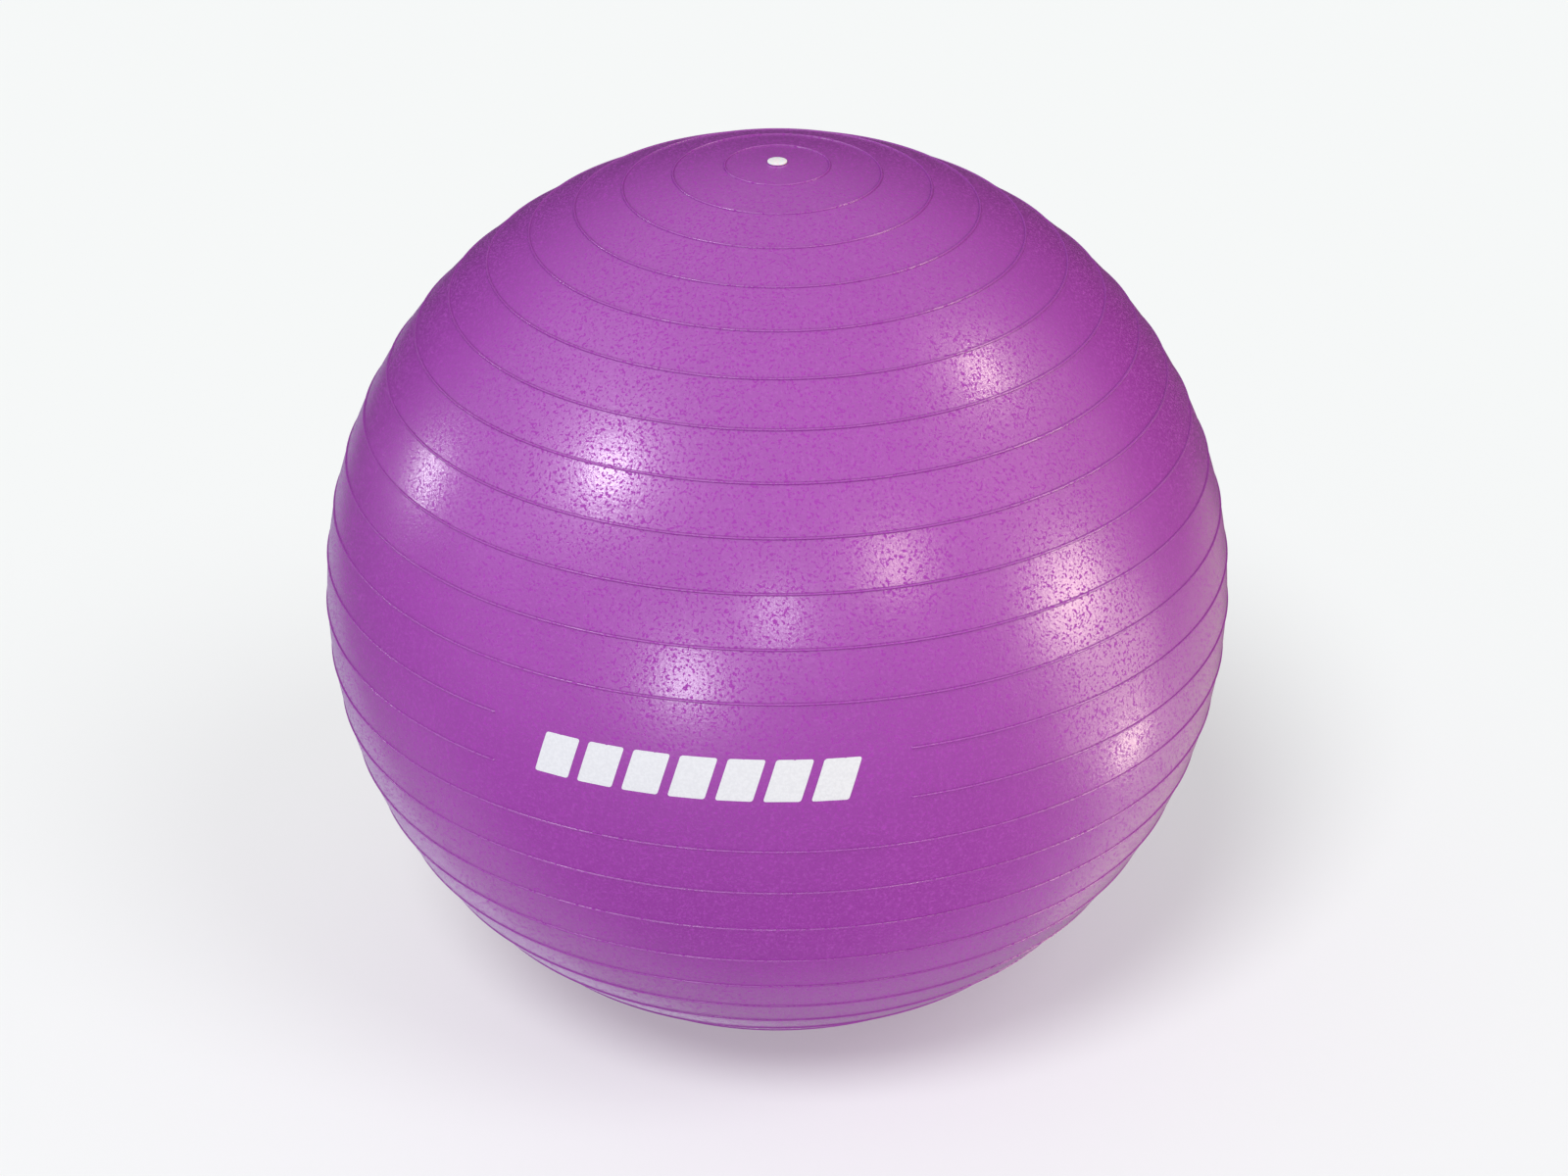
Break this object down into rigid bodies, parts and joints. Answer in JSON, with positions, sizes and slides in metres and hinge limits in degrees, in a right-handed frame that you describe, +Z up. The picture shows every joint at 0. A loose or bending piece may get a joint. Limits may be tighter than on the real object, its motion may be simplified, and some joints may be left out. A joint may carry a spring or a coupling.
{
  "type": "gym ball",
  "caption": "Large inflated exercise ball with a ribbed soft vinyl skin, a moulded valve seat in its top and a white push-in plug.",
  "frame": {"origin": "middle of the flat patch that the ball rests on, on the floor", "axes": "+Z up along the valve's axis; the smooth panel between two short ribs, which takes the print, faces -Y"},
  "size_m": [0.6502, 0.6509, 0.651],
  "materials": {
    "skin": "satin",
    "seat": "satin",
    "plug": "satin",
    "print": "satin"
  },
  "bodies": {
    "ball": {"ball_skin": "skin", "valve_seat": "seat"},
    "plug": {"valve_plug": "plug"}
  },
  "joints": [
    {"name": "plug_pull", "type": "slide", "parent": "ball", "child": "plug", "axis": [0, 0, 1], "range_m": [0, 0.028]}
  ]
}
